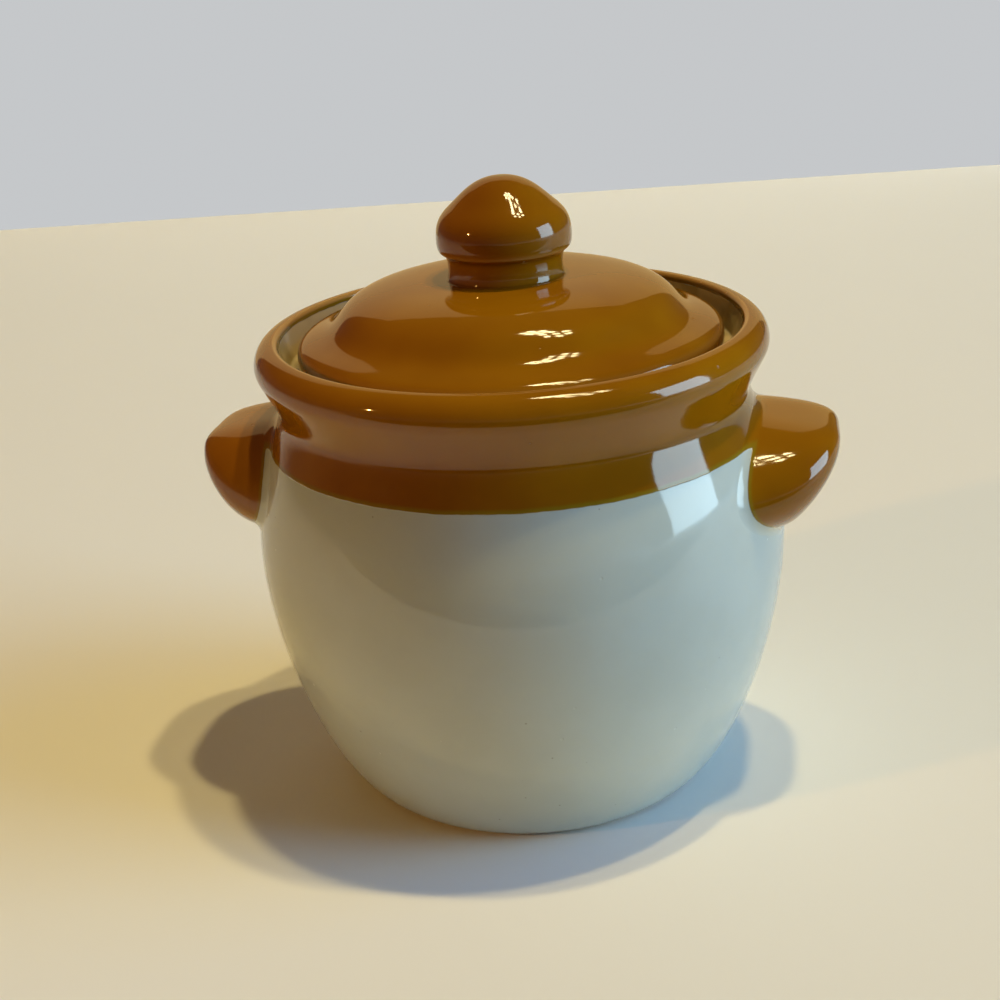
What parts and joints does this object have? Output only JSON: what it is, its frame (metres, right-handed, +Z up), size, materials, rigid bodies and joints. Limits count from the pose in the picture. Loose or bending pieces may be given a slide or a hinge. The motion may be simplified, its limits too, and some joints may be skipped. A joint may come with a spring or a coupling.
{
  "type": "lidded stoneware jar",
  "caption": "Round-bellied glazed stoneware jar with side lugs and a loose domed lid that drops into a ledge inside the rolled rim; holds sugar, mustard or small stores.",
  "frame": {"origin": "on the surface the jar stands on, on the axis of the jar", "axes": "+Z up along the axis of the jar, lugs along +X and -X, +Y to the back"},
  "size_m": [0.153, 0.1282, 0.1472],
  "materials": {
    "cream_glaze": "glossy cream glaze with honey-brown glaze on the neck and rim, bare clay under the foot",
    "honey_glaze": "glossy translucent honey-brown glaze"
  },
  "bodies": {
    "jar": {"jar_body": "cream_glaze", "left_lug": "honey_glaze", "right_lug": "honey_glaze"},
    "lid": {"lid": "honey_glaze", "knob": "honey_glaze"}
  },
  "joints": [
    {"name": "lid_lift", "type": "slide", "parent": "jar", "child": "lid", "axis": [0, 0, 1], "range_m": [0, 0.08]}
  ]
}
